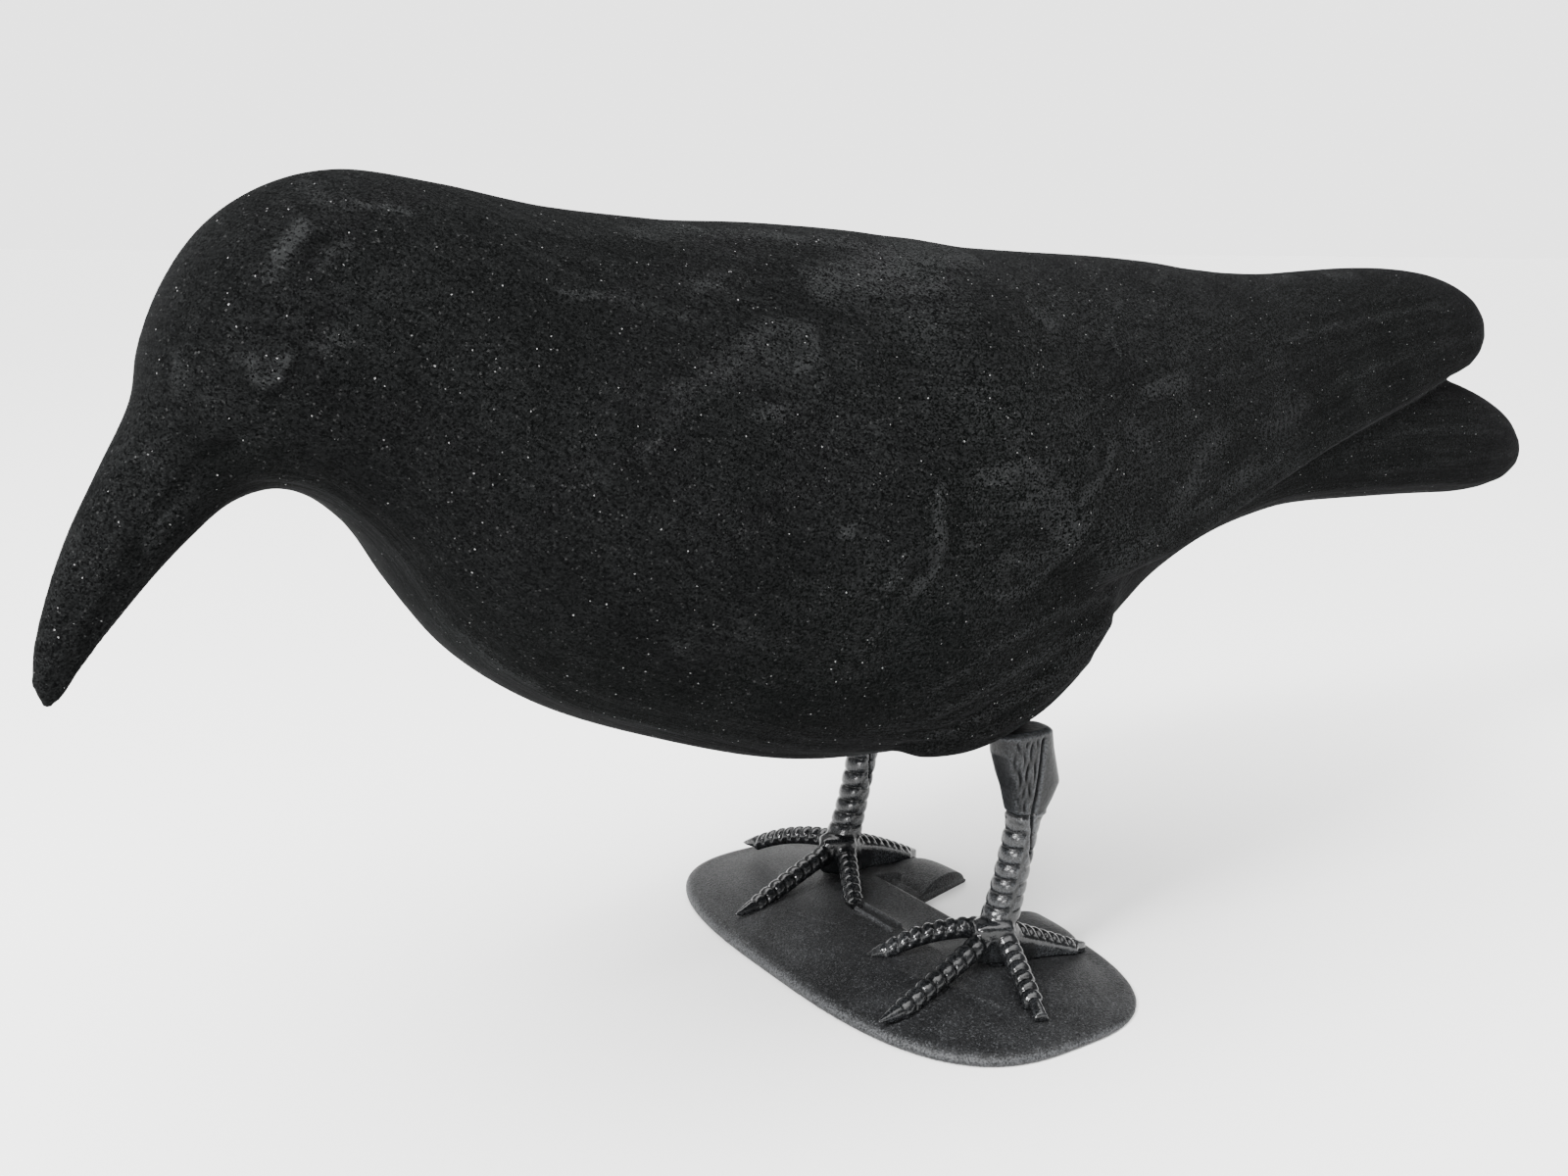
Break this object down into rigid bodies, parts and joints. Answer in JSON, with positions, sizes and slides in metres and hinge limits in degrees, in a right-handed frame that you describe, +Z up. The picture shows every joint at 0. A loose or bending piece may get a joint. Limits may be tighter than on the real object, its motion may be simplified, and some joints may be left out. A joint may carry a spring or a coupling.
{
  "type": "crow decoy",
  "caption": "Life-size flocked crow decoy stooping as if to feed, on moulded legs and a domed base with a notch in its rear edge.",
  "frame": {"origin": "on the ground under the middle of the base", "axes": "-X toward the beak, +X toward the tail, -Y to the bird's left, +Z up"},
  "size_m": [0.423, 0.129, 0.1777],
  "materials": {
    "flock": "matte black flock, slightly dusty at its edges",
    "plastic": "satin black moulded plastic"
  },
  "bodies": {
    "root": {"body": "flock", "left_leg": "plastic", "right_leg": "plastic", "base": "plastic"}
  },
  "joints": []
}
